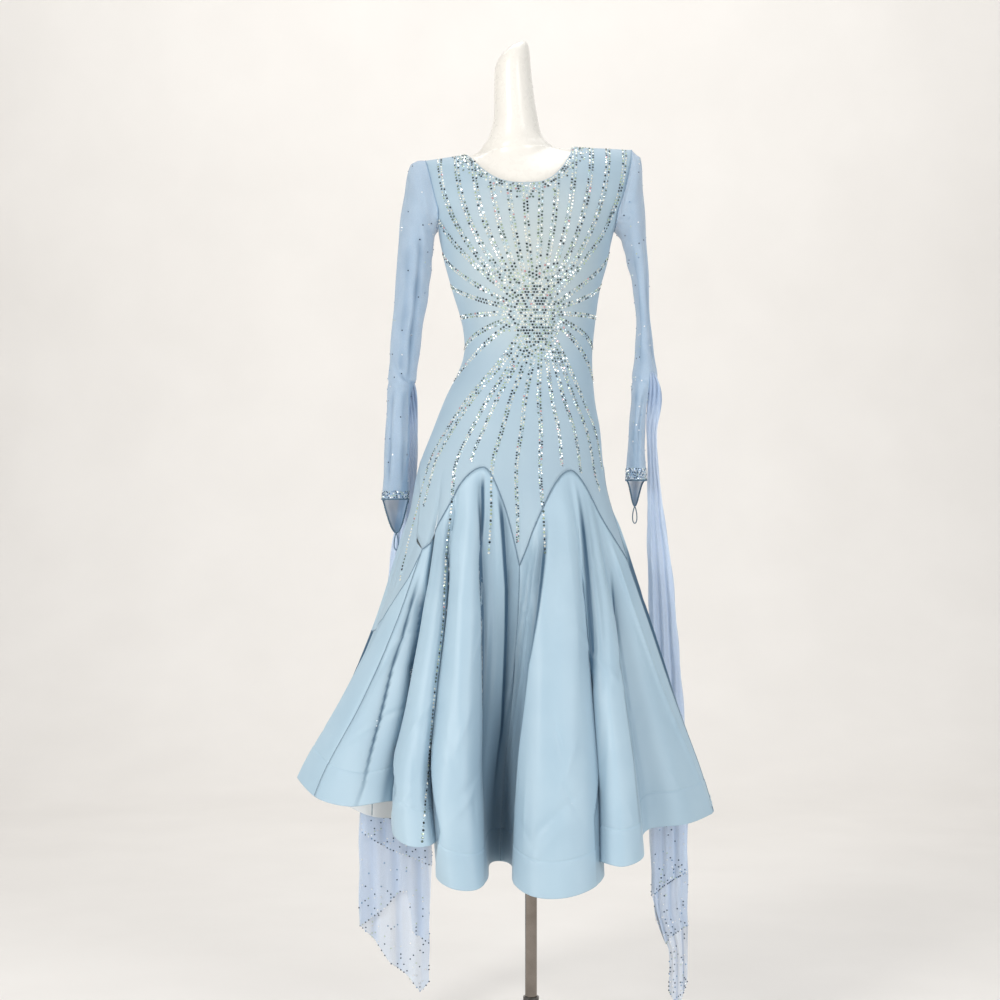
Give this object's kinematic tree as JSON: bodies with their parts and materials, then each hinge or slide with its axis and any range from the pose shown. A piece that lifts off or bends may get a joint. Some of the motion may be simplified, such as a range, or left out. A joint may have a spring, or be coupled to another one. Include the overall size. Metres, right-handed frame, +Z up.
{
  "type": "ballroom dance dress on a dress form",
  "caption": "Long-sleeved dance dress with a fitted bodice, flared godet skirt, mesh sleeves and hanging floats, worn on a limbless form on a pole stand.",
  "frame": {"origin": "centre of the base plate's underside, on the pole's axis", "axes": "+Z up along the pole, -Y the dress's front, +X the wearer's left"},
  "size_m": [0.7067, 0.5712, 1.707],
  "materials": {
    "satin": "crepe-back satin, pale ice blue",
    "bodice_knit": "matte stretch cloth, pale blue-grey",
    "sleeve_mesh": "fine stretch mesh, see-through, pale periwinkle",
    "form_gloss": "glossy warm white lacquer",
    "steel": "satin steel",
    "loop_elastic": "thin covered elastic"
  },
  "bodies": {
    "root": {"base_plate": "steel", "pole": "steel", "pole_collar": "steel", "form_torso": "form_gloss", "bodice_front": "bodice_knit", "bodice_back": "bodice_knit", "godet_front_right": "satin", "godet_front_left": "satin", "godet_side_left": "satin", "godet_back_left": "satin", "godet_back_right": "satin", "godet_side_right": "satin", "sleeve_left": "sleeve_mesh", "sleeve_right": "sleeve_mesh", "float_left": "sleeve_mesh", "float_right": "sleeve_mesh", "finger_loop_left": "loop_elastic", "finger_loop_right": "loop_elastic"}
  },
  "joints": []
}
